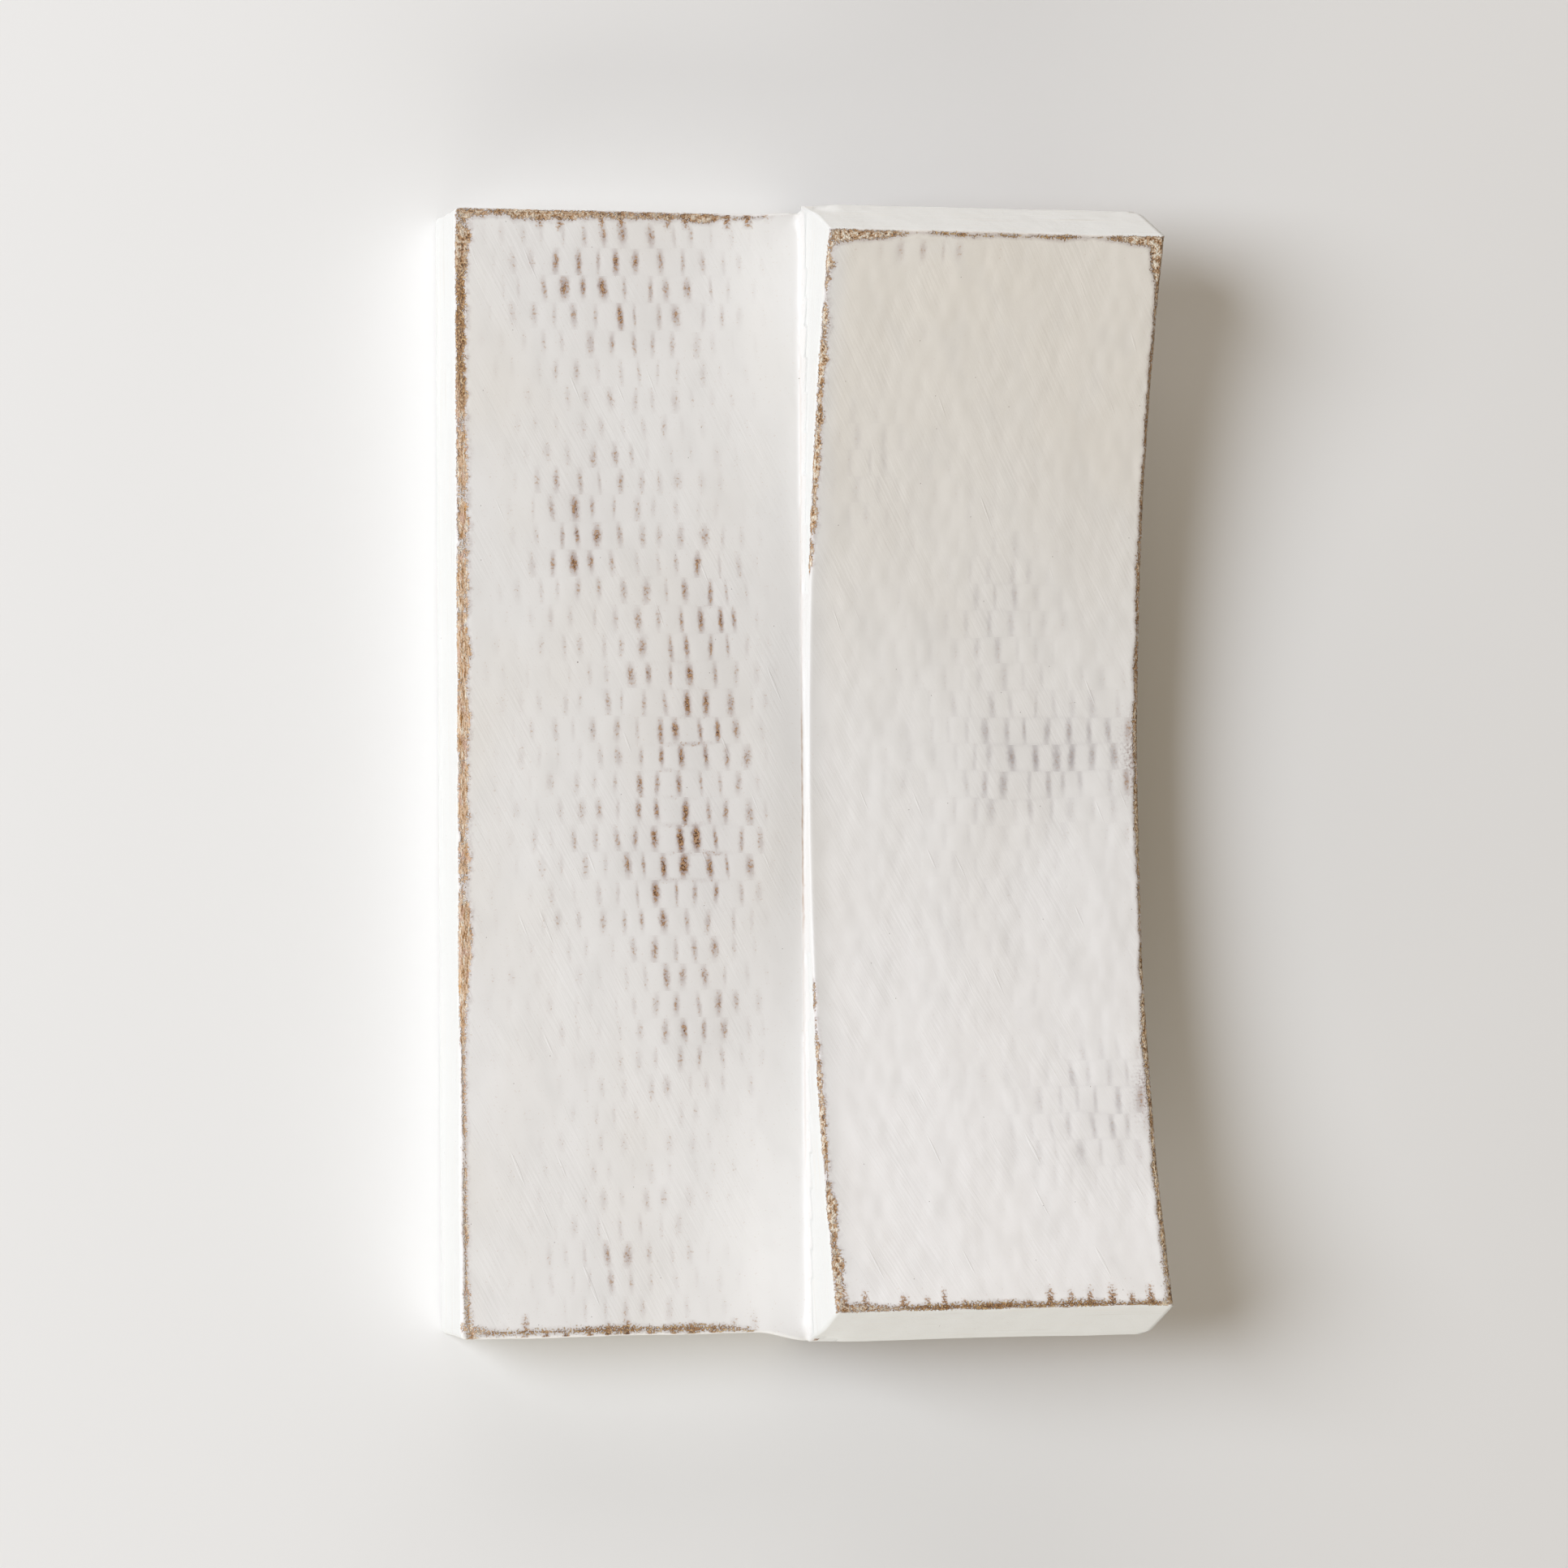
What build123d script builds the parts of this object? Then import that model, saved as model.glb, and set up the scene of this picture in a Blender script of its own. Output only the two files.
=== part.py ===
"""A textured ceramic wall tile: a flat slab and a bowed slab joined side by side and fired as one piece.

The tile lies on its back. X runs across the two panels, Y along their height and Z out of the face,
with the origin on the back plane, in the middle of the tile's width and height.
"""

import os
from math import degrees

from build123d import *

# Flat panel
flat_width = 95.3
flat_height = 300.0
flat_thickness = 26.3

# Bowed panel: a slab of even thickness, hollow towards the front, its ends cut square to the slab
bow_width = 93.7
bow_length = 303.0  # developed along the middle of the slab's thickness
bow_thickness = 27.4
bow_radius = 393.0  # of the hollow front face

# Edges eased by hand before firing
edge_radius = 1.2
corner_radius = 2.0  # the flat panel's two outer corners, seen from the front
bow_back_radius = 6.0  # the bowed panel's outer back edge, rounded as the slab was lifted

# Cove of slip along the foot of the step, widest at the tile's ends
cove_radius = 4.0
cove_tip_radius = 0.6
cove_reach = 105.0

# Places that follow from the sizes
left_x = -(flat_width + bow_width) / 2
joint_x = left_x + flat_width
bow_centre_z = bow_thickness + bow_radius
bow_half_angle = degrees(bow_length / 2 / (bow_radius + bow_thickness / 2))


def make_flat_panel():
    """The flat slab, its outer edges eased and its joint side left square."""
    across = Pos(left_x + flat_width / 2, 0, flat_thickness / 2)
    panel = across * Box(flat_width, flat_height, flat_thickness)
    outer_corners = panel.edges().filter_by(Axis.Z).group_by(Axis.X)[0]
    panel = fillet(outer_corners, corner_radius)
    front_rim = panel.faces().sort_by(Axis.Z)[-1].edges()
    back_rim = panel.faces().sort_by(Axis.Z)[0].edges()
    joint_rim = (front_rim + back_rim).filter_by(Axis.Y).group_by(Axis.X)[-1]
    return fillet((front_rim + back_rim) - joint_rim, edge_radius)


def bow_point(radius, angle):
    """A point of the bow's section, at an angle from the tile's middle line."""
    return Vector(radius, 0).rotate(Axis.Z, angle - 90) + Vector(0, bow_centre_z)


def make_bowed_panel():
    """The bowed slab: its section of two arcs drawn on the joint plane and pushed out to its width."""
    back_radius = bow_radius + bow_thickness
    front = [bow_point(bow_radius, turn * bow_half_angle) for turn in (-1, 0, 1)]
    back = [bow_point(back_radius, turn * bow_half_angle) for turn in (1, 0, -1)]
    outline = Curve() + [
        ThreePointArc(*front),
        Line(front[-1], back[0]),
        ThreePointArc(*back),
        Line(back[-1], front[0]),
    ]
    joint_plane = Plane(origin=(joint_x, 0, 0), x_dir=(0, 1, 0), z_dir=(1, 0, 0))
    panel = extrude(joint_plane * make_face(outline), bow_width)
    outer_back = panel.faces().sort_by(Axis.X)[-1].edges().sort_by(Axis.Z)[0]
    panel = fillet(outer_back, bow_back_radius)
    ends = panel.faces().sort_by(Axis.Y)
    front_rim = panel.faces().filter_by(GeomType.CYLINDER).sort_by(Axis.Z)[-1].edges()
    end_rims = ends[0].edges() + ends[-1].edges()
    return fillet(front_rim + (end_rims - front_rim), edge_radius)


def cove_section(y, radius):
    """The hollow fillet between the flat face and the side of the bowed panel, cut across at y."""
    section = Plane(origin=(joint_x, y, flat_thickness), x_dir=(1, 0, 0), z_dir=(0, -1, 0))
    outline = Curve() + [
        RadiusArc((-radius, 0), (0, radius), -radius),
        Line((0, radius), (0, 0)),
        Line((0, 0), (-radius, 0)),
    ]
    return section * make_face(outline)


def make_cove(side):
    """One end's cove: it narrows from the end of the tile towards the middle."""
    outer_y = side * (flat_height / 2 - edge_radius)
    inner_y = side * (flat_height / 2 - cove_reach)
    return loft([cove_section(outer_y, cove_radius), cove_section(inner_y, cove_tip_radius)])


def make_tile():
    """The two panels and their coves, fused as the firing fused them."""
    return make_flat_panel() + make_bowed_panel() + [make_cove(side) for side in (-1, 1)]


os.makedirs("parts", exist_ok=True)
tile = make_tile()
export_step(tile, "parts/wall_tile.step")
box = tile.bounding_box()
print("tile", [round(v, 2) for v in box.min], [round(v, 2) for v in box.max], round(tile.volume))
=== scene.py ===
"""Looks of a textured ceramic wall tile: a flat and a bowed slab under one milky coat, lying on its back.

Lengths are in millimetres until MM turns them into metres.
X runs across the panels, Y along them and Z out of the face.
"""

from math import cos, pi, radians, sin

import bpy
import numpy as np
from mathutils import Matrix, Vector


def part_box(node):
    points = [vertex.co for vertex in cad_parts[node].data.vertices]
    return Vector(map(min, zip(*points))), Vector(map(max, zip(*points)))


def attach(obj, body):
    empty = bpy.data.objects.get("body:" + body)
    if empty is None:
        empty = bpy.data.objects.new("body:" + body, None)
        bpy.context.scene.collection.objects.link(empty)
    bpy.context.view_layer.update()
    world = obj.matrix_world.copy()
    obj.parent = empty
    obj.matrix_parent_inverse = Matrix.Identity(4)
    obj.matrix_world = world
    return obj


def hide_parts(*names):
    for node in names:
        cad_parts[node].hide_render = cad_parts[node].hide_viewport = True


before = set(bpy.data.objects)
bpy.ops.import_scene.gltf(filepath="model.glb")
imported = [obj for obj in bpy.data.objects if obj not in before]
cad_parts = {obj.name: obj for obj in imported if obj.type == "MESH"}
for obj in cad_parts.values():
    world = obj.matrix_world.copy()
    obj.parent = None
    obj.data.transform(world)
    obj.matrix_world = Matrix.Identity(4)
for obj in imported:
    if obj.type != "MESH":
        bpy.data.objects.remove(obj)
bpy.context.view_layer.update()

MM = 0.001

# The tile's sizes
low, high = (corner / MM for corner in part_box("wall_tile"))
LEFT_X, RIGHT_X = low.x, high.x
FLAT_WIDTH = 95.3
FLAT_HEIGHT = 300.0
FLAT_THICKNESS = 26.3
JOINT_X = LEFT_X + FLAT_WIDTH
END = FLAT_HEIGHT / 2
BOW_WIDTH = RIGHT_X - JOINT_X
BOW_LENGTH = 303.0
BOW_THICKNESS = 27.4
BOW_RADIUS = 393.0
BOW_ANGLE = BOW_LENGTH / (BOW_RADIUS + BOW_THICKNESS / 2)
BOW_CENTRE_Z = BOW_THICKNESS + BOW_RADIUS
EDGE_RADIUS = 1.2
CORNER_RADIUS = 2.0
BOW_BACK_RADIUS = 6.0

# How finely the clay is meshed
FACE_STEP = 1.0
BORDER_STEP = 0.6
BORDER_RINGS = 6
WALL_STEP = 2.2
RIM_SEGMENTS = 4
BACK_INSETS = (1.5, 6.0)

# The joint: how far the flat slab runs into the bowed one, and the slip that closes it.
# A pair for the bulge is where it starts and where it is full.
SEAT = 2.0
SLIP_DROP = 5.0
SLIP_WIDTH = (2.0, 9.0)
SLIP_START = 135.0
BOTTOM_BULGE = 2.4
TOP_BULGE = 0.8
BULGE_ACROSS = (JOINT_X - 14, JOINT_X)
BULGE_ALONG = (END - 3, END - 1)
BULGE_UP = (2, 14)
COVE_REACH = (45.0, 150.0)
COVE_WIDTH = (0.5, 2.6)
COVE_DRAG = 0.35
COVE_PASSES = 24
CRISP_END = 3.2
TOUCH = 0.05
# The line at the step's foot: a hairline crack, and painted crease shade beyond it.
CRACK_AND_SHADE_OFFSET = 1.0
CRACK_AND_SHADE_WIDTH = 0.4

# The mat that was pressed into the clay
ROW_PITCH = 7.34
ROW_PHASE = -0.064
TICK_PITCH = 5.7
TICK_WIDTH = 1.4
TICK_HEIGHT = 4.9
PILLOW_DEPTH = 0.07

# Worn edges: the bare band at each edge as (place along it, inset where it starts, inset where it ends)
BARE_LIP = 0.8
FLAT_LEFT_WEAR = (
    (-150, 2.4, 4.4), (-144, 1.7, 2.9), (-135, 1.4, 2.1), (-90, 1.2, 1.9), (-68, 0.5, 1.9), (-57, -2, 2.6),
    (-45, -2, 3.6), (-20, -2, 2.9), (20, -2, 3.2), (60, -2, 3.4), (100, -2, 3.0), (130, -2, 3.0),
    (143, -2, 4.0), (150, -2, 4.6),
)
FLAT_TOP_WEAR = (
    (0, -2, 3.2), (10, -2, 2.5), (45, -2, 2.5), (55, 0.2, 2.6), (70, 0.6, 2.5), (77, 0.9, 1.7),
    (82, 1.0, 1.2), (87, 1.2, 0.2), (92, 1.2, -3.0),
)
FLAT_BOTTOM_WEAR = (
    (0, 2.4, 4.4), (8, 1.5, 2.2), (14, 1.5, 1.9), (22, 1.4, 2.4), (60, 1.4, 2.3), (72, 1.3, 1.9),
    (79, 1.2, 1.0), (85, 1.2, -3.0),
)
BOW_LEFT_WEAR = (
    (-150, -2, 3.2), (-130, -2, 2.4), (-110, -2, 1.9), (-80, -2, 1.2), (-58, -2, 0.5), (-46, -2, -3.0),
    (46, -2, -3.0), (58, -2, 0.6), (80, -2, 1.6), (110, -2, 2.2), (130, -2, 1.2), (143, -2, 1.0),
    (150, -2, 3.4),
)
BOW_TOP_WEAR = (
    (0, -2, 3.8), (12, -2, 3.0), (20, 0.4, 1.4), (24, 0.6, 0.4), (29, 0.6, 0.5), (34, 0.6, 1.2),
    (80, 0.6, 1.3), (84, -2, 2.2), (90, -2, 3.2), (93.7, -2, 4.0),
)
BOW_RIGHT_WEAR = (
    (-150, -2, 1.5), (-110, -2, 1.9), (-75, -2, 1.8), (-50, -2, 1.2), (0, -2, 1.5), (90, -2, 1.2),
    (120, -2, 1.3), (132, -2, 1.4), (138, -2, 2.0), (142, -2, 3.4), (150, -2, 4.4),
)
BOW_BOTTOM_WEAR = (
    (0, -2, 3.4), (6, -2, 2.2), (15, -2, 1.5), (60, -2, 1.7), (75, -2, 1.4), (82, -2, 0.9), (93.7, -2, 0.8),
)
WORN_DEPTH = 0.3

# How ragged those bands are, on two edges as places along the edge and the values there
FLAT_LEFT_FRAY = ((-75, -55), (0.35, 1.0))
FLAT_TOP_FRAY = 0.8
FLAT_BOTTOM_FRAY = 0.5
BOW_LEFT_FRAY = 1.1
BOW_RIGHT_FRAY = ((128, 140), (0.55, 0.7))
BOW_TOP_FRAY = 0.6
BOW_BOTTOM_FRAY = 0.5

# The bare back, inside a margin of spilt coat and clear of the slip at the joint
BACK_SPILL = 5.5
BACK_BARE = 6.0
BACK_LIP = EDGE_RADIUS / 2
SLIP_ACROSS = 14
SLIP_ALONG = 125

# Slack in telling the bowed panel's points from the flat one's
SIDE_SLACK = 0.02
BACK_SLACK = 0.3

# Where bare clay is rubbed tan or has a pale crust. A pair is where it starts and where it is full.
RUBBED_ALONG = (115, 85)
RUBBED_ACROSS = (12, 7)
FLAT_TAN = 0.2
BOW_TAN = 0.1
BACK_TAN = 0.9
CORNER_CRUST_ACROSS = (76, 84)
CORNER_CRUST_ALONG = (124, 132)
LEFT_CRUST_ACROSS = (24, 16)
RIGHT_RIM = 4
RIGHT_CRUST = 0.6
FLAT_CRUST = 0.7
FLAT_CRUST_ALONG = (130, 140)

# Places where the coat is thin and the mat shows: across from the panel's left edge, along, radii, strength
FLAT_THIN = (
    (45, 132, 30, 22, 0.62), (34, 67, 11, 18, 0.52), (68, 39, 12, 20, 0.56), (64, 11, 14, 13, 0.5),
    (65, -21, 17, 18, 0.85), (68, -66, 12, 18, 0.46), (44, -133, 22, 19, 0.36), (48, 10, 38, 135, 0.4),
)
BOW_THIN = (
    (70, 6, 26, 18, 0.42), (77, -97, 16, 20, 0.38), (15, 86, 10, 22, 0.2), (54, 45, 14, 14, 0.22),
    (48, 0, 40, 150, 0.16), (94, 3, 5, 22, 0.4), (94, -88, 6, 11, 0.5), (27, 145, 15, 4, 0.36),
)
# Beside the joint and down the walls that thinness starts at the first place and is full at the second
THIN_BY_JOINT = (FLAT_WIDTH - 3, FLAT_WIDTH - 14)
THIN_DEPTH = (2.0, 0.3)

# The clay's own grain, by the size of its lumps
GRAIN = 0.55
SPECKLE = 0.75
LUMPS = 1.5

# The coat's own surface: the heights of what a brush and a scraper left, and its roughness
STROKE_HEIGHT = 0.06
SCRATCH_HEIGHT = 0.04
WALL_BRUSH_HEIGHT = 0.12
FLAT_DIMPLES = 0.16
BOW_DIMPLES = 0.36
COAT_ROUGHNESS = 0.46

# Colours as they look in even light, in 8-bit steps
COAT = (228, 225, 221)
# White coat, partly the coat's own white and partly painted light on the lower faces.
WHITE_COAT_AND_PAINTED_LIGHT = (241, 238, 235)
# Warm coat for clouds and wall streaks, also used as painted shade at the bowed panel's top.
WARM_COAT_AND_SHADE = (222, 215, 204)
THICK_COAT = (221, 220, 216)
THIN_COAT = (219, 215, 212)
# Grey coat for the random mottle, also used as painted shade beside the step.
GREY_COAT_AND_SHADE = (208, 205, 201)
WALL_LINE = (188, 176, 160)
VEILED_CLAY = (166, 148, 142)
GREY_VEIL = (162, 154, 155)
TAN_CLAY = (206, 174, 142)
GOLD_CLAY = (196, 142, 74)
PINK_CLAY = (200, 166, 148)
LIGHT_CLAY = (186, 150, 114)
CLAY = (152, 109, 62)
DARK_CLAY = (76, 48, 24)
SAND = (206, 178, 132)
CRUST = (226, 216, 198)

# Light: a large soft lamp to the left, wide low fills at the tile's two ends, and a dim warm surround.
# Each lamp is its way from the tile, its width and height, its level and its colour.
LAMP_DISTANCE = 3000.0
LAMPS = (
    ((-1.0, 0.2, 0.9), (1770.0, 1770.0), 0.89, (0.93, 1.0, 1.11)),
    ((-0.2, -1.0, 0.3), (4600.0, 1770.0), 0.7, (0.98, 1.0, 1.0)),
    ((-0.2, 1.0, 0.3), (4600.0, 1770.0), 0.54, (1.0, 1.0, 1.02)),
)
SURROUND_COLOUR = (0.18, 0.134, 0.072)
FLOOR_SIDE = 12000.0
FLOOR_COLOUR = (231, 229, 226)
FLOOR_ROUGHNESS = 0.9
FLOOR_SPECULAR = 0.1

# The camera, fitted to the panels' corners
CAMERA_TURN = radians(14.72)
CAMERA_RISE = radians(1.29)
CAMERA_ROLL = radians(-0.38)
CAMERA_TARGET = Vector((1.66, -2.56, 0.0))
CAMERA_DISTANCE = 1629.9
CAMERA_LENS = 137.3
SENSOR = 36.0


def smoothstep(start, end, value):
    t = np.clip((value - start) / (end - start), 0.0, 1.0)
    return t * t * (3.0 - 2.0 * t)


def read_points(mesh):
    """A mesh's points in millimetres."""
    points = np.empty(len(mesh.vertices) * 3)
    mesh.vertices.foreach_get("co", points)
    return points.reshape(-1, 3) / MM


def write_points(mesh, points):
    mesh.vertices.foreach_set("co", (points * MM).ravel())
    mesh.update()


def select_only(piece):
    bpy.ops.object.select_all(action="DESELECT")
    piece.select_set(True)
    bpy.context.view_layer.objects.active = piece


def select_in(piece, kind, chosen):
    """Goes into edit mode with only the chosen elements selected. kind is VERT or EDGE."""
    bpy.ops.object.mode_set(mode="EDIT")
    bpy.ops.mesh.select_mode(type=kind)
    bpy.ops.mesh.select_all(action="DESELECT")
    bpy.ops.object.mode_set(mode="OBJECT")
    elements = piece.data.vertices if kind == "VERT" else piece.data.edges
    elements.foreach_set("select", chosen)
    bpy.ops.object.mode_set(mode="EDIT")


def apply_modifier(piece, kind, **settings):
    modifier = piece.modifiers.new(kind.lower(), kind)
    for name, value in settings.items():
        setattr(modifier, name, value)
    select_only(piece)
    bpy.ops.object.modifier_apply(modifier=modifier.name)


def rim_path(thickness):
    """The rings from the face over its rim, down the wall and onto the back, as (outset, height) pairs."""
    border = BORDER_RINGS * BORDER_STEP
    turns = [pi / 2 * i / RIM_SEGMENTS for i in range(1, RIM_SEGMENTS + 1)]
    wall = thickness - 2 * EDGE_RADIUS
    rows = round(wall / WALL_STEP)
    rings = [(BORDER_STEP * i, thickness) for i in range(1, BORDER_RINGS + 1)]
    rings += [(border + EDGE_RADIUS * sin(t), thickness - EDGE_RADIUS * (1 - cos(t))) for t in turns]
    rings += [(border + EDGE_RADIUS, thickness - EDGE_RADIUS - wall * i / rows) for i in range(1, rows + 1)]
    rings += [(border + EDGE_RADIUS * cos(t), EDGE_RADIUS * (1 - sin(t))) for t in turns]
    return rings + [(border - inset, 0.0) for inset in BACK_INSETS]


def add_slab(name, centre_x, width, length, thickness):
    """A slab with eased edges, flat on the ground: a fine grid, with its sides drawn out of the rim."""
    margin = BORDER_RINGS * BORDER_STEP + EDGE_RADIUS
    half = [width / 2 - margin, length / 2 - margin]
    columns, rows = (round(2 * h / FACE_STEP) for h in half)
    place = (centre_x * MM, 0, thickness * MM)
    bpy.ops.mesh.primitive_grid_add(x_subdivisions=columns, y_subdivisions=rows, size=2 * MM, location=place)
    slab = bpy.context.object
    slab.name = slab.data.name = name
    slab.scale = (*half, 1)
    bpy.ops.object.transform_apply(location=True, rotation=True, scale=True)
    bpy.ops.object.mode_set(mode="EDIT")
    bpy.ops.mesh.select_mode(type="EDGE")
    bpy.ops.mesh.select_all(action="DESELECT")
    bpy.ops.mesh.select_non_manifold()
    outset, height = 0.0, thickness
    for next_outset, next_height in rim_path(thickness):
        drop = (0, 0, (next_height - height) * MM)
        bpy.ops.mesh.extrude_edges_move(TRANSFORM_OT_translate={"value": drop})
        spread = [(h + next_outset) / (h + outset) for h in half]
        bpy.ops.transform.resize(value=(*spread, 1), center_override=(centre_x * MM, 0, 0))
        outset, height = next_outset, next_height
    bpy.ops.object.mode_set(mode="OBJECT")
    close_back(slab, half[1] + outset)
    return slab


def close_back(slab, half_length):
    """Bridges the two long sides of the back's last ring and fills the strips left at its ends."""
    points = read_points(slab.data)
    ends = np.empty(len(slab.data.edges) * 2, dtype=int)
    slab.data.edges.foreach_get("vertices", ends)
    pairs = points[ends.reshape(-1, 2)]
    corners = np.empty(len(slab.data.loops), dtype=int)
    slab.data.loops.foreach_get("edge_index", corners)
    faces_on_edge = np.bincount(corners, minlength=len(pairs))
    within_ends = abs(pairs[:, :, 1]).max(axis=1) < half_length - FACE_STEP / 4
    select_in(slab, "EDGE", (faces_on_edge == 1) & within_ends)
    bpy.ops.mesh.bridge_edge_loops()
    bpy.ops.mesh.select_all(action="SELECT")
    bpy.ops.mesh.fill_holes(sides=0)
    bpy.ops.mesh.normals_make_consistent(inside=False)
    bpy.ops.object.mode_set(mode="OBJECT")


def round_edge(points, axes, sides, radius):
    """Pulls what stands outside a rounder edge onto it.

    Each axis has its side's place and the way out of it.
    """
    inner = [(points[:, axis] - place) * way + radius for axis, (place, way) in zip(axes, sides)]
    reach = np.hypot(*inner)
    outer = (inner[0] > 0) & (inner[1] > 0) & (reach > radius)
    for axis, (place, way), depth in zip(axes, sides, inner):
        pulled = place + way * (depth * radius / np.maximum(reach, radius) - radius)
        points[outer, axis] = pulled[outer]


def make_flat_slab():
    """The flat slab, its outer corners rounded and its end walls swollen with slip by the joint."""
    width = FLAT_WIDTH + SEAT
    slab = add_slab("flat_slab", LEFT_X + width / 2, width, FLAT_HEIGHT, FLAT_THICKNESS)
    points = read_points(slab.data)
    for side in (-1, 1):
        round_edge(points, (0, 1), ((LEFT_X, -1), (side * END, side)), CORNER_RADIUS)
    x, y, z = points.T
    bulge = np.where(y < 0, -BOTTOM_BULGE, TOP_BULGE) * smoothstep(*BULGE_ACROSS, x)
    points[:, 1] += bulge * smoothstep(*BULGE_ALONG, abs(y)) * smoothstep(*BULGE_UP, z)
    write_points(slab.data, points)
    return slab


def bow_place(points):
    """Where points lie on the bowed panel: along it, with its ends at -END and END, and under its face."""
    rise = BOW_CENTRE_Z - points[:, 2]
    angle = np.arctan2(points[:, 1], rise)
    return angle / (BOW_ANGLE / 2) * END, np.hypot(points[:, 1], rise) - BOW_RADIUS


def make_bowed_slab():
    """The second slab, bent hollow, its lower inner corners drawn down onto the flat slab with slip."""
    slab = add_slab("bowed_slab", JOINT_X + BOW_WIDTH / 2, BOW_WIDTH, BOW_LENGTH, BOW_THICKNESS)
    points = read_points(slab.data)
    round_edge(points, (0, 2), ((RIGHT_X, 1), (0.0, -1)), BOW_BACK_RADIUS)
    write_points(slab.data, points)
    middle = (0, 0, BOW_THICKNESS / 2 * MM)
    bpy.ops.object.empty_add(location=middle, rotation=(pi / 2, 0, 0))
    pivot = bpy.context.object
    bend = {"deform_method": "BEND", "deform_axis": "X", "angle": BOW_ANGLE, "origin": pivot}
    apply_modifier(slab, "SIMPLE_DEFORM", **bend)
    bpy.data.objects.remove(pivot)
    points = read_points(slab.data)
    depth = bow_place(points)[1]
    low_part = smoothstep(BOW_THICKNESS / 2, BOW_THICKNESS, depth)
    near_joint = 1 - smoothstep(*SLIP_WIDTH, points[:, 0] - JOINT_X)
    near_end = smoothstep(SLIP_START, END, abs(points[:, 1]))
    points[:, 2] -= SLIP_DROP * low_part * near_joint * near_end
    write_points(slab.data, points)
    return slab


def soften_joint(tile):
    """Smooths the foot of the step into a cove, wide at the tile's ends and gone in the middle."""
    points = read_points(tile.data)
    along = np.minimum(abs(points[:, 1]), END)
    off_foot = points[:, 2] - FLAT_THICKNESS
    down_end = (along > END - COVE_WIDTH[1]) & (off_foot < 0)
    off_foot[down_end] *= COVE_DRAG
    off_line = np.array([points[:, 0] - JOINT_X, abs(points[:, 1]) - along, off_foot])
    near = np.linalg.norm(off_line, axis=0) < np.interp(along, COVE_REACH, COVE_WIDTH)
    bow_end = (points[:, 0] > JOINT_X - TOUCH) & (abs(bow_place(points)[0]) > END - CRISP_END)
    select_in(tile, "VERT", near & ~bow_end)
    bpy.ops.mesh.vertices_smooth(factor=0.5, repeat=COVE_PASSES)
    bpy.ops.object.mode_set(mode="OBJECT")


def band(place, inset, wear):
    """How far a point is inside the bare band of one edge."""
    places, starts, ends = zip(*wear)
    return np.minimum(np.interp(place, places, ends) - inset, inset - np.interp(place, places, starts))


def deepest(bands, frays):
    """The deepest of a panel's bare bands at each point, and how ragged that band is there."""
    frays = [np.broadcast_to(fray, bands[0].shape) for fray in frays]
    which = np.argmax(bands, axis=0)
    return np.choose(which, bands), np.choose(which, frays)


def spots(across, along, places):
    """The coat's thinness from round places, each fading outwards."""
    return sum(s * np.exp(-(((across - x) / w) ** 2) - ((along - y) / h) ** 2) for x, y, w, h, s in places)


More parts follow.
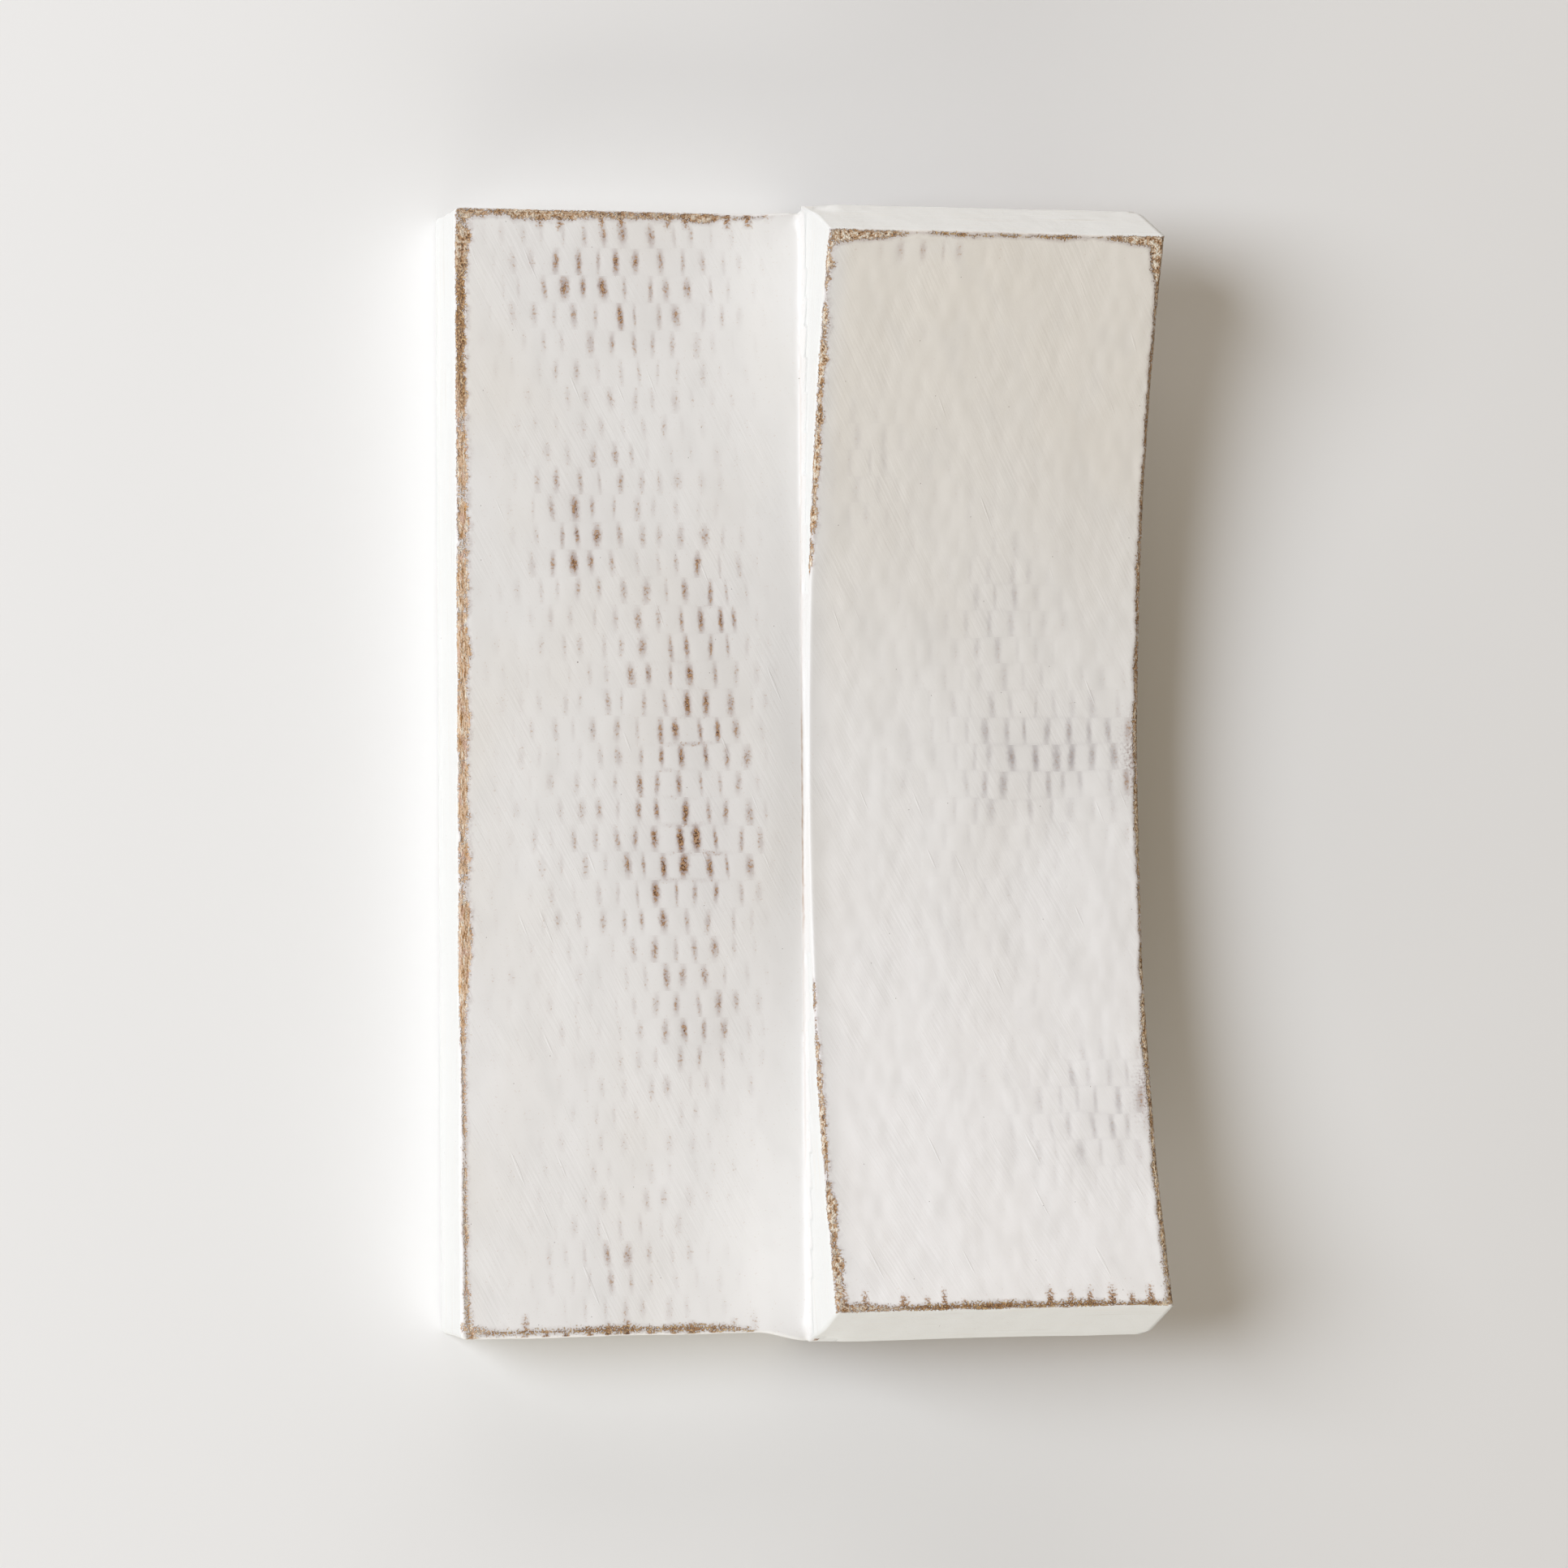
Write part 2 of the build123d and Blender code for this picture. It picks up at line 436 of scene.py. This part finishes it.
def mark_clay(tile):
    """Stores on each point its place on its panel, how thin the coat is and how bare and rubbed the clay."""
    points = read_points(tile.data)
    x, y, z = points.T
    bow_along, bow_depth = bow_place(points)
    bowed = (x > JOINT_X - SIDE_SLACK) & (bow_depth < BOW_THICKNESS + BACK_SLACK)
    along = np.where(bowed, bow_along, y)
    depth = np.where(bowed, bow_depth, FLAT_THICKNESS - z)
    on_back = np.where(bowed, BOW_THICKNESS - bow_depth, z) < BACK_LIP
    flat_x, bow_x = x - LEFT_X, x - JOINT_X
    flat_bare, flat_fray = deepest(
        [
            band(along, flat_x, FLAT_LEFT_WEAR),
            band(flat_x, END - along, FLAT_TOP_WEAR),
            band(flat_x, END + along, FLAT_BOTTOM_WEAR),
        ],
        (np.interp(along, *FLAT_LEFT_FRAY), FLAT_TOP_FRAY, FLAT_BOTTOM_FRAY),
    )
    bow_bare, bow_fray = deepest(
        [
            band(along, bow_x, BOW_LEFT_WEAR),
            band(along, BOW_WIDTH - bow_x, BOW_RIGHT_WEAR),
            band(bow_x, END - along, BOW_TOP_WEAR),
            band(bow_x, END + along, BOW_BOTTOM_WEAR),
        ],
        (BOW_LEFT_FRAY, np.interp(along, *BOW_RIGHT_FRAY), BOW_TOP_FRAY, BOW_BOTTOM_FRAY),
    )
    fray = np.where(bowed, bow_fray, flat_fray)
    face_bare = np.minimum(np.where(bowed, bow_bare, flat_bare), BARE_LIP - depth)
    outer = np.where(bowed, BOW_WIDTH - bow_x, flat_x)
    slip = bowed & (bow_x < SLIP_ACROSS) & (abs(along) > SLIP_ALONG)
    inset = np.minimum(outer, END - abs(along)) - BACK_SPILL
    back_bare = np.where(slip, -BACK_BARE, np.minimum(inset, BACK_BARE))
    bare = np.where(on_back, back_bare, face_bare)
    flat_thin = spots(flat_x, along, FLAT_THIN) * smoothstep(*THIN_BY_JOINT, flat_x)
    thin = np.where(bowed, spots(bow_x, along, BOW_THIN), flat_thin) * smoothstep(*THIN_DEPTH, depth)
    rubbed = smoothstep(*RUBBED_ALONG, along) * smoothstep(*RUBBED_ACROSS, flat_x)
    tan = np.where(bowed, BOW_TAN, np.maximum(rubbed, FLAT_TAN)) + BACK_TAN * on_back
    corner = smoothstep(*CORNER_CRUST_ACROSS, bow_x) * smoothstep(*CORNER_CRUST_ALONG, along)
    by_right = np.where(bow_x > BOW_WIDTH - RIGHT_RIM, RIGHT_CRUST, 0.0)
    bow_crust = np.maximum(np.maximum(corner, by_right), smoothstep(*LEFT_CRUST_ACROSS, bow_x))
    crusty = np.where(bowed, bow_crust, FLAT_CRUST * smoothstep(*FLAT_CRUST_ALONG, along))
    for name, kind, field, values in (
        ("lay", "FLOAT_VECTOR", "vector", np.stack([x, along, depth], axis=1)),
        ("bare", "FLOAT", "value", np.clip(bare, -10, 10)),
        ("thin", "FLOAT", "value", thin),
        ("tan", "FLOAT", "value", np.minimum(tan, 1)),
        ("crusty", "FLOAT", "value", crusty),
        ("fray", "FLOAT", "value", fray),
    ):
        tile.data.attributes.new(name, kind, "POINT").data.foreach_set(field, values.ravel())


class Wire:
    """A node's output. Arithmetic on wires adds Math nodes to their tree, and add() any other node."""

    def __init__(self, tree, socket=None):
        self.tree = tree
        self.socket = socket

    def add(self, kind, settings=(), sockets=(), output=0):
        node = self.tree.nodes.new(kind)
        for name, value in dict(settings).items():
            setattr(node, name, value)
        for name, value in dict(sockets).items():
            if isinstance(value, Wire):
                self.tree.links.new(value.socket, node.inputs[name])
            else:
                node.inputs[name].default_value = value
        return Wire(self.tree, node.outputs[output] if node.outputs else None)

    def maths(self, operation, *terms):
        return self.add("ShaderNodeMath", {"operation": operation}, enumerate(terms))

    def __add__(self, other):
        return self.maths("ADD", self, other)

    __radd__ = __add__

    def __sub__(self, other):
        return self.maths("SUBTRACT", self, other)

    def __rsub__(self, other):
        return self.maths("SUBTRACT", other, self)

    def __mul__(self, other):
        return self.maths("MULTIPLY", self, other)

    __rmul__ = __mul__

    def __truediv__(self, other):
        return self.maths("DIVIDE", self, other)

    def __abs__(self):
        return self.maths("ABSOLUTE", self)

    def floor(self):
        return self.maths("FLOOR", self)

    def root(self):
        return self.maths("SQRT", self)

    def least(self, other):
        return self.maths("MINIMUM", self, other)

    def most(self, other):
        return self.maths("MAXIMUM", self, other)

    def ease(self, start, end):
        """0 before start, 1 after end, with a smooth step between."""
        sockets = {"Value": self, "From Min": start, "From Max": end}
        return self.add("ShaderNodeMapRange", {"interpolation_type": "SMOOTHSTEP"}, sockets)

    def vector(self, x, y, z=0.0):
        return self.add("ShaderNodeCombineXYZ", (), {0: x, 1: y, 2: z})

    def noise(self, x, y, z=0.0, detail=2.0):
        """Soft noise about 0, at places already divided by the size of its lumps."""
        sockets = {"Vector": self.vector(x, y, z), "Scale": 1.0, "Detail": detail}
        return self.add("ShaderNodeTexNoise", (), sockets) - 0.5

    def chance(self, x, y):
        """An even random number from 0 to 1 for each pair of whole numbers."""
        return self.add("ShaderNodeTexWhiteNoise", {"noise_dimensions": "2D"}, {"Vector": self.vector(x, y)})

    def blend(self, share, start, end):
        """Mixes two colours, each a wire or 8-bit steps."""
        start, end = (c if isinstance(c, Wire) else (*linear(c), 1) for c in (start, end))
        return self.add("ShaderNodeMix", {"data_type": "RGBA"}, {0: share, 6: start, 7: end}, 2)


def linear(steps):
    """A colour in 8-bit steps as the linear numbers that a shader takes."""
    parts = [s / 255 for s in steps]
    return tuple(p / 12.92 if p <= 0.04045 else ((p + 0.055) / 1.055) ** 2.4 for p in parts)


class Clay:
    """The marks on the tile's points, read in a shader or geometry tree, and the patterns made from them."""

    def __init__(self, tree):
        self.at = Wire(tree)
        lay = self.mark("lay", "FLOAT_VECTOR", "Vector")
        places = [self.at.add("ShaderNodeSeparateXYZ", (), {0: lay}, i) for i in range(3)]
        self.across, self.along, self.depth = places
        self.thin = self.mark("thin", "FLOAT", "Fac")
        self.tan = self.mark("tan", "FLOAT", "Fac")
        self.crusty = self.mark("crusty", "FLOAT", "Fac")
        self.bowed = self.across.ease(JOINT_X - 1, JOINT_X + 1)
        self.grain = self.patches(GRAIN, GRAIN, GRAIN, detail=1.0)
        self.speckle = self.patches(SPECKLE, SPECKLE, SPECKLE, shift=3.0, detail=1.0)
        self.lumps = self.patches(LUMPS, LUMPS, LUMPS, shift=5.0, detail=1.0)
        self.imprint()
        self.wear(self.mark("bare", "FLOAT", "Fac"), self.mark("fray", "FLOAT", "Fac"))

    def mark(self, name, kind, output):
        if self.at.tree.type == "SHADER":
            return self.at.add("ShaderNodeAttribute", {"attribute_name": name}, (), output)
        return self.at.add("GeometryNodeInputNamedAttribute", {"data_type": kind}, {"Name": name})

    def patches(self, across, along, down=None, slant=None, shift=0.0, detail=2.0):
        """Noise in lumps of a size across, along and down the walls, sheared where a slant is given."""
        x, y = self.across / across, self.along / along
        x = x + self.along / slant if slant else x
        z = self.depth / down + shift if down else shift
        return self.at.noise(x, y, z, detail)

    def imprint(self):
        """The mat's print: upright ticks in staggered rows, and thin lines between the rows."""
        at, u, v = self.at, self.across, self.along
        wander = self.patches(40, 40) * 0.4 + self.patches(9, 9) * 0.12
        place = v / ROW_PITCH + ROW_PHASE + wander
        row = place.floor()
        rise = place - row - 0.5
        stagger = row * 0.5 + at.chance(row, 7.0) * 0.35
        slide = at.noise(u / 14, row * 3.7) * 0.9
        column_place = u / TICK_PITCH + stagger + slide
        column = column_place.floor()
        luck = at.chance(column, row)
        nudge = (at.chance(column, row + 0.5) - 0.5) * 0.3
        lean = (at.chance(column + 0.5, row) - 0.3) * 0.22
        side = column_place - column - 0.5 - nudge + rise * lean
        wobble = self.patches(0.9, 1.4, shift=2.0) * 1.6
        half_width = (0.62 + luck * 0.58 - self.bowed * 0.1) * (TICK_WIDTH / TICK_PITCH / 2)
        half_height = (1.0 + nudge + self.bowed * 0.12) * (TICK_HEIGHT / ROW_PITCH / 2)
        beside = abs(side) / half_width + wobble
        above = (rise + nudge * 0.4) / half_height
        reach = (beside * beside + above * above).root()
        self.luck = luck
        self.tick = reach.ease(1.9, 0.1)
        self.halo = reach.ease(3.0, 0.0)
        self.stem = beside.ease(1.2, 0.1)
        self.line = abs(rise).ease(0.34, 0.48)
        self.cell = reach.ease(0.4, 3.4) * abs(rise).ease(0.5, 0.3)

    def wear(self, bare, fray):
        """The ragged bare bands, and the flames of thin coat that rise from them at the tile's ends."""
        at, u, v, d = self.at, self.across, self.along, self.depth
        ragged = self.patches(2.4, 2.4, 2.4, detail=3.0) * 2.8 + self.patches(9, 9, 9, detail=1.0) * 3.4
        self.bare = bare + ragged * fray
        place = u / TICK_PITCH + at.noise(u / 14, 50.0) * 0.9
        column = place.floor()
        bowed = u.ease(JOINT_X, JOINT_X + 1)
        tall = at.chance(column, v.ease(-1.0, 1.0).floor()).ease(0.1, 1.0) * 5.0 + 2.2
        narrow = (1.0 - abs(place - column - 0.5) * 4.0).most(0.0)
        flame = narrow * (1.0 - (END - abs(v)) / tall).most(0.0)
        not_bow_top = 1.0 - v.ease(0.0, 9.0) * bowed
        where = not_bow_top * (self.thin + bowed * 0.2).ease(0.0, 0.15) * d.ease(0.5, 0.2)
        self.flame = flame.root() * where * 1.2

    def exposure(self):
        """How much clay shows through the mat's print, from 0 to 1 or more, and the print's soft shade."""
        thin = self.thin * (1.0 + self.patches(16, 16) * 1.4)
        strength = thin * (0.62 + self.luck * 0.66)
        gaps = self.patches(6, 6, shift=4.0).ease(-0.2, 0.1)
        line = self.line * gaps * (thin - 0.8).most(0.0) * 2.2
        stem = self.stem * gaps * (thin - 0.75).most(0.0) * 2.0
        drawn = line.most(stem)
        show = (self.tick * strength).most(drawn * self.speckle.ease(-0.1, 0.2)).most(self.flame)
        shade = (self.halo * strength).most(drawn).most(self.flame * 0.6)
        return show, shade + (1.0 - self.cell) * thin * (self.bowed * 0.25 + 0.25)


def clay_colour(clay):
    """Bare fired clay: fibrous tan where it was rubbed, dark and crumbly with a pale crust elsewhere."""
    at, u, v = clay.at, clay.across, clay.along
    fibre = clay.patches(0.6, 3.2, 0.7, shift=3.0) + clay.grain * 0.4
    golden = clay.patches(2.5, 6, 6).ease(0.08, 0.24)
    pink = clay.patches(3, 5, 5, shift=9.0).ease(0.0, 0.18)
    rubbed = at.blend(fibre.ease(-0.2, 0.0), CLAY, TAN_CLAY)
    rubbed = at.blend(golden * 0.7, rubbed, GOLD_CLAY)
    rubbed = at.blend(pink * 0.75, rubbed, PINK_CLAY)
    rubbed = at.blend(fibre.ease(0.03, 0.16) * 0.85, rubbed, CRUST)
    brown = at.blend(clay.grain.ease(-0.14, 0.06), DARK_CLAY, CLAY)
    low_right = u.ease(RIGHT_X - RIGHT_RIM, RIGHT_X - RIGHT_RIM + 1) * v.ease(50.0, -40.0)
    crumbs = clay.grain + clay.lumps * 0.4 + low_right * 0.14
    crumbly = at.blend(crumbs.ease(0.05, 0.2), brown, SAND)
    coarse = clay.lumps * 0.9 + clay.grain * 0.5 + clay.speckle * 0.5
    rim = clay.bare.ease(0.7, 0.0) * (0.7 - low_right * 0.5)
    crust = at.blend(coarse.ease(-0.05, 0.1), LIGHT_CLAY, CRUST)
    crust = at.blend(rim.most(coarse.ease(-0.06, -0.18)), crust, brown)
    return at.blend(clay.tan, at.blend(clay.crusty, crumbly, crust), rubbed)


def crack_and_crease_shade(clay):
    """The line along the foot of the step: a hairline crack, plain near the middle of the tile, and beyond it
    a weak line of painted shade in the crease.
    """
    at, u, v = clay.at, clay.across, clay.along
    wander = at.noise(v / 4, 1.0, 0.0, 3.0) * 0.5
    plain = v.ease(-48.0, -38.0) * v.ease(22.0, 12.0) * (0.75 + at.noise(v / 3, 8.0) * 1.6)
    # Painted shade: a weak line in the crease at the step's foot.
    crease_shade = v.ease(-118.0, -90.0) * v.ease(130.0, 100.0) * 0.3
    run = plain.most(crease_shade) * clay.depth.ease(0.8, 0.2)
    return abs(u - (JOINT_X - CRACK_AND_SHADE_OFFSET) + wander).ease(CRACK_AND_SHADE_WIDTH, 0.0) * run


def coat_colour(clay, on_wall, on_bow, streaks):
    """The coat where it covers: white, warm and grey clouds on the faces, thick and brushed on the walls. It
    also holds painted light low on the faces and painted shade at the bowed panel's top, each partly the
    coat's own tone, and painted shade on the flat face beside the step.
    """
    at, u, v = clay.at, clay.across, clay.along
    cloud = clay.patches(38, 60, 60)
    # Warm clouds on the faces, and the bowed panel warmer and darker towards its top: partly the coat's tone,
    # partly painted shade where the hollow face turns down from the light.
    warmth_and_top_shade = cloud.ease(-0.1, 0.3) * (0.45 - on_bow * 0.25) + on_bow * v.ease(-30.0, 140.0) * 0.8
    mottle = clay.patches(8, 16, slant=30, shift=3.0)
    # Painted shade: the flat face greyed beside the step, against the light thrown on it by the bowed panel's
    # wall.
    shade_by_joint = u.ease(JOINT_X - 16, JOINT_X - 2) * (1.0 - on_bow)
    lines = clay.patches(60, 60, 0.8, shift=20.0, detail=1.0).ease(0.12, 0.3)
    lines = lines * clay.patches(18, 18, 6).ease(-0.05, 0.2)
    # Whiter towards the bottom, most on the bowed panel: partly the coat's tone, partly painted light where
    # the hollow face turns up to the light.
    coat = at.blend((on_bow * 0.6 + 0.4) * v.ease(100.0, -100.0), COAT, WHITE_COAT_AND_PAINTED_LIGHT)
    coat = at.blend(warmth_and_top_shade, coat, WARM_COAT_AND_SHADE)
    coat = at.blend(clay.thin.ease(0.1, 1.0) * 0.5, coat, THIN_COAT)
    coat = at.blend(mottle.ease(-0.06, 0.3) * 0.2, coat, GREY_COAT_AND_SHADE)
    # Painted shade beside the step.
    coat = at.blend(shade_by_joint * 0.5, coat, GREY_COAT_AND_SHADE)
    coat = at.blend(on_wall, coat, THICK_COAT)
    coat = at.blend(streaks.ease(0.06, 0.25) * on_wall * 0.5, coat, WARM_COAT_AND_SHADE)
    return at.blend(lines * on_wall * 0.5, coat, WALL_LINE)


def printed_coat(clay, coat, on_wall, on_bow):
    """The coat with the mat's print in it, veiled and then speckled with clay. Also gives how bare it is."""
    at, u, v = clay.at, clay.across, clay.along
    grain, speckle = clay.grain, clay.speckle
    show, shade = clay.exposure()
    rim_shade = clay.bare.ease(-1.8, 0.2) * (1.0 - on_wall) * 0.5
    by_right = u.ease(RIGHT_X - 13, RIGHT_X - 2)
    mist = by_right * clay.thin.ease(0.2, 0.7) * (0.5 + speckle * 2.4).most(0.0)
    veil = shade * (0.44 + on_bow * 0.22) + show * (0.4 - on_bow * 0.32)
    veil = veil.most(rim_shade + grain * rim_shade).most(mist).ease(0.0, 0.95)
    pale = on_bow * (END - abs(v)).ease(7.0, 12.0) * (RIGHT_X - u).ease(2.0, 9.0)
    veiled = at.blend(veil, coat, at.blend(pale, VEILED_CLAY, GREY_VEIL))
    bared = (show + speckle * 3.0).ease(0.5, 0.8) * (show * 1.1 + 0.15).least(0.95)
    bared = bared * (1.0 - pale * 0.6) * (1.0 - grain.ease(0.06, 0.2) * 0.6)
    speckled = at.blend((grain + speckle).ease(-0.16, 0.1), DARK_CLAY, CLAY)
    speckled = at.blend(speckle.ease(0.02, 0.12) * 0.75, speckled, LIGHT_CLAY)
    pinholes = clay.patches(0.9, 0.9, 0.9, shift=11.0, detail=0.0).ease(0.38, 0.44)
    return at.blend(pinholes * 0.7, at.blend(bared, veiled, speckled), DARK_CLAY), bared


def coat_height(clay, worn, on_wall, on_bow, streaks):
    """The height of strokes, scratches and dimples in the coat, and of crumbly clay in the bare bands."""
    brushing = clay.patches(15, 25, shift=2.0, detail=0.0).ease(-0.2, 0.2) * STROKE_HEIGHT
    strokes = clay.patches(0.9, 11, 0.6, slant=1.7, detail=1.0) * brushing
    scratches = clay.patches(1.2, 16, 0.9, slant=3, shift=7.0, detail=0.0).ease(0.3, 0.38) * SCRATCH_HEIGHT
    brushed = streaks * on_wall * WALL_BRUSH_HEIGHT
    dimpling = FLAT_DIMPLES + on_bow * (BOW_DIMPLES - FLAT_DIMPLES)
    dimples = clay.patches(8, 11, 9, shift=30.0, detail=1.0) * dimpling
    rough_clay = (clay.grain * 0.5 + clay.lumps * 0.6 - WORN_DEPTH) * worn
    return strokes + scratches + brushed + dimples + rough_clay


def make_coat():
    """The milky coat, with the mat's print where it is thin and bare clay along the worn edges."""
    material = bpy.data.materials.new("milky_coat")
    material.use_nodes = True
    tree = material.node_tree
    clay = Clay(tree)
    at, v, d = clay.at, clay.along, clay.depth
    on_wall = d.ease(0.5, 1.4)
    on_bow = clay.across.ease(JOINT_X - 1, JOINT_X + 8)
    streaks = clay.patches(30, 30, 0.8, shift=2.0)
    coat = coat_colour(clay, on_wall, on_bow, streaks)
    face, bared = printed_coat(clay, coat, on_wall, on_bow)
    at_bottom = v.ease(-130.0, -140.0) * d.ease(0.8, 0.3)
    worn = (clay.bare + clay.grain * (2.4 + at_bottom * 2.6)).ease(-0.2, 0.3)
    colour = at.blend(worn, face, clay_colour(clay))
    # A hairline crack at the step's foot, and beyond it painted crease shade.
    colour = at.blend(crack_and_crease_shade(clay).least(1.0) * 0.65, colour, CLAY)
    height = coat_height(clay, worn, on_wall, on_bow, streaks)
    bump = at.add("ShaderNodeBump", (), {"Strength": 1.0, "Distance": MM, "Height": height})
    rough = COAT_ROUGHNESS + worn * 0.4 + bared * 0.25 + clay.patches(5, 9, 9) * 0.1
    shader = tree.nodes["Principled BSDF"]
    for name, wire in (("Base Color", colour), ("Roughness", rough), ("Normal", bump)):
        tree.links.new(wire.socket, shader.inputs[name])
    return material


def raise_relief(tile):
    """Moves points for what is deep enough to model: pillowed cells, recessed bare edges and uneven faces."""
    tree = bpy.data.node_groups.new("clay_relief", "GeometryNodeTree")
    for way in ("INPUT", "OUTPUT"):
        tree.interface.new_socket("Geometry", in_out=way, socket_type="NodeSocketGeometry")
    clay = Clay(tree)
    at = clay.at
    place = at.add("GeometryNodeInputPosition")
    off_floor = at.add("ShaderNodeSeparateXYZ", (), {0: place}, 2).ease(0.0, 4 * MM)
    on_face = clay.depth.ease(0.9, 0.0)
    uneven = (clay.patches(30, 45, 25) * 0.9 - 0.2).least(0.0)
    pressed = clay.thin.ease(-0.1, 0.8).most(clay.across.ease(JOINT_X + 2, JOINT_X + 12) * 0.8)
    pillow = (clay.cell - 1.0) * on_face * pressed * PILLOW_DEPTH
    worn = clay.bare.ease(-0.3, 0.4) * (WORN_DEPTH + clay.grain * 0.4)
    offset = (uneven + pillow - worn) * off_floor
    normal = at.add("GeometryNodeInputNormal")
    push = at.add("ShaderNodeVectorMath", {"operation": "SCALE"}, {0: normal, "Scale": offset * MM})
    moved = at.add("GeometryNodeSetPosition", (), {"Geometry": at.add("NodeGroupInput"), "Offset": push})
    at.add("NodeGroupOutput", (), {0: moved})
    apply_modifier(tile, "NODES", node_group=tree)


def make_tile():
    """The two slabs as one closed body with a softened joint, its marks, its relief and its coat."""
    bpy.ops.object.select_all(action="DESELECT")
    tile = make_flat_slab()
    bowed = make_bowed_slab()
    apply_modifier(tile, "BOOLEAN", operation="UNION", solver="EXACT", object=bowed)
    bpy.data.objects.remove(bowed)
    select_only(tile)
    soften_joint(tile)
    tile.name = tile.data.name = "glazed_tile"
    mark_clay(tile)
    raise_relief(tile)
    bpy.ops.object.shade_smooth()
    tile.data.materials.clear()
    tile.data.materials.append(make_coat())
    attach(tile, "root")
    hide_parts("wall_tile")


def set_camera():
    """The camera at the fitted place, looking at the middle of the tile from a little to its left."""
    level = cos(CAMERA_RISE)
    back = Vector((-sin(CAMERA_TURN) * level, -sin(CAMERA_RISE), cos(CAMERA_TURN) * level))
    right = Vector((0, 1, 0)).cross(back).normalized()
    up = back.cross(right)
    rolled_right = cos(CAMERA_ROLL) * right + sin(CAMERA_ROLL) * up
    rolled_up = cos(CAMERA_ROLL) * up - sin(CAMERA_ROLL) * right
    place = (CAMERA_TARGET + back * CAMERA_DISTANCE) * MM
    bpy.ops.object.camera_add()
    camera = bpy.context.object
    turn = Matrix((rolled_right, rolled_up, back)).transposed()
    camera.matrix_world = Matrix.Translation(place) @ turn.to_4x4()
    camera.data.lens = CAMERA_LENS
    camera.data.sensor_width = SENSOR
    bpy.context.scene.camera = camera


def set_light():
    for way, size, level, colour in LAMPS:
        way = Vector(way).normalized()
        turn = way.to_track_quat("Z", "Y").to_euler()
        bpy.ops.object.light_add(type="AREA", location=way * LAMP_DISTANCE * MM, rotation=turn)
        lamp = bpy.context.object.data
        lamp.shape = "ELLIPSE"
        lamp.size, lamp.size_y = (s * MM for s in size)
        lamp.color = colour
        lamp.energy = level * (pi * LAMP_DISTANCE * MM) ** 2
    world = bpy.data.worlds.new("surround")
    world.use_nodes = True
    world.node_tree.nodes["Background"].inputs["Color"].default_value = (*SURROUND_COLOUR, 1)
    bpy.context.scene.world = world


def lay_floor():
    bpy.ops.mesh.primitive_plane_add(size=FLOOR_SIDE * MM)
    floor = bpy.context.object
    floor.name = floor.data.name = "floor"
    paint = bpy.data.materials.new("pale_floor")
    paint.use_nodes = True
    shader = paint.node_tree.nodes["Principled BSDF"]
    shader.inputs["Base Color"].default_value = (*linear(FLOOR_COLOUR), 1)
    shader.inputs["Roughness"].default_value = FLOOR_ROUGHNESS
    shader.inputs["Specular IOR Level"].default_value = FLOOR_SPECULAR
    floor.data.materials.append(paint)


bpy.context.scene.view_settings.view_transform = "Standard"
make_tile()
lay_floor()
set_light()
set_camera()
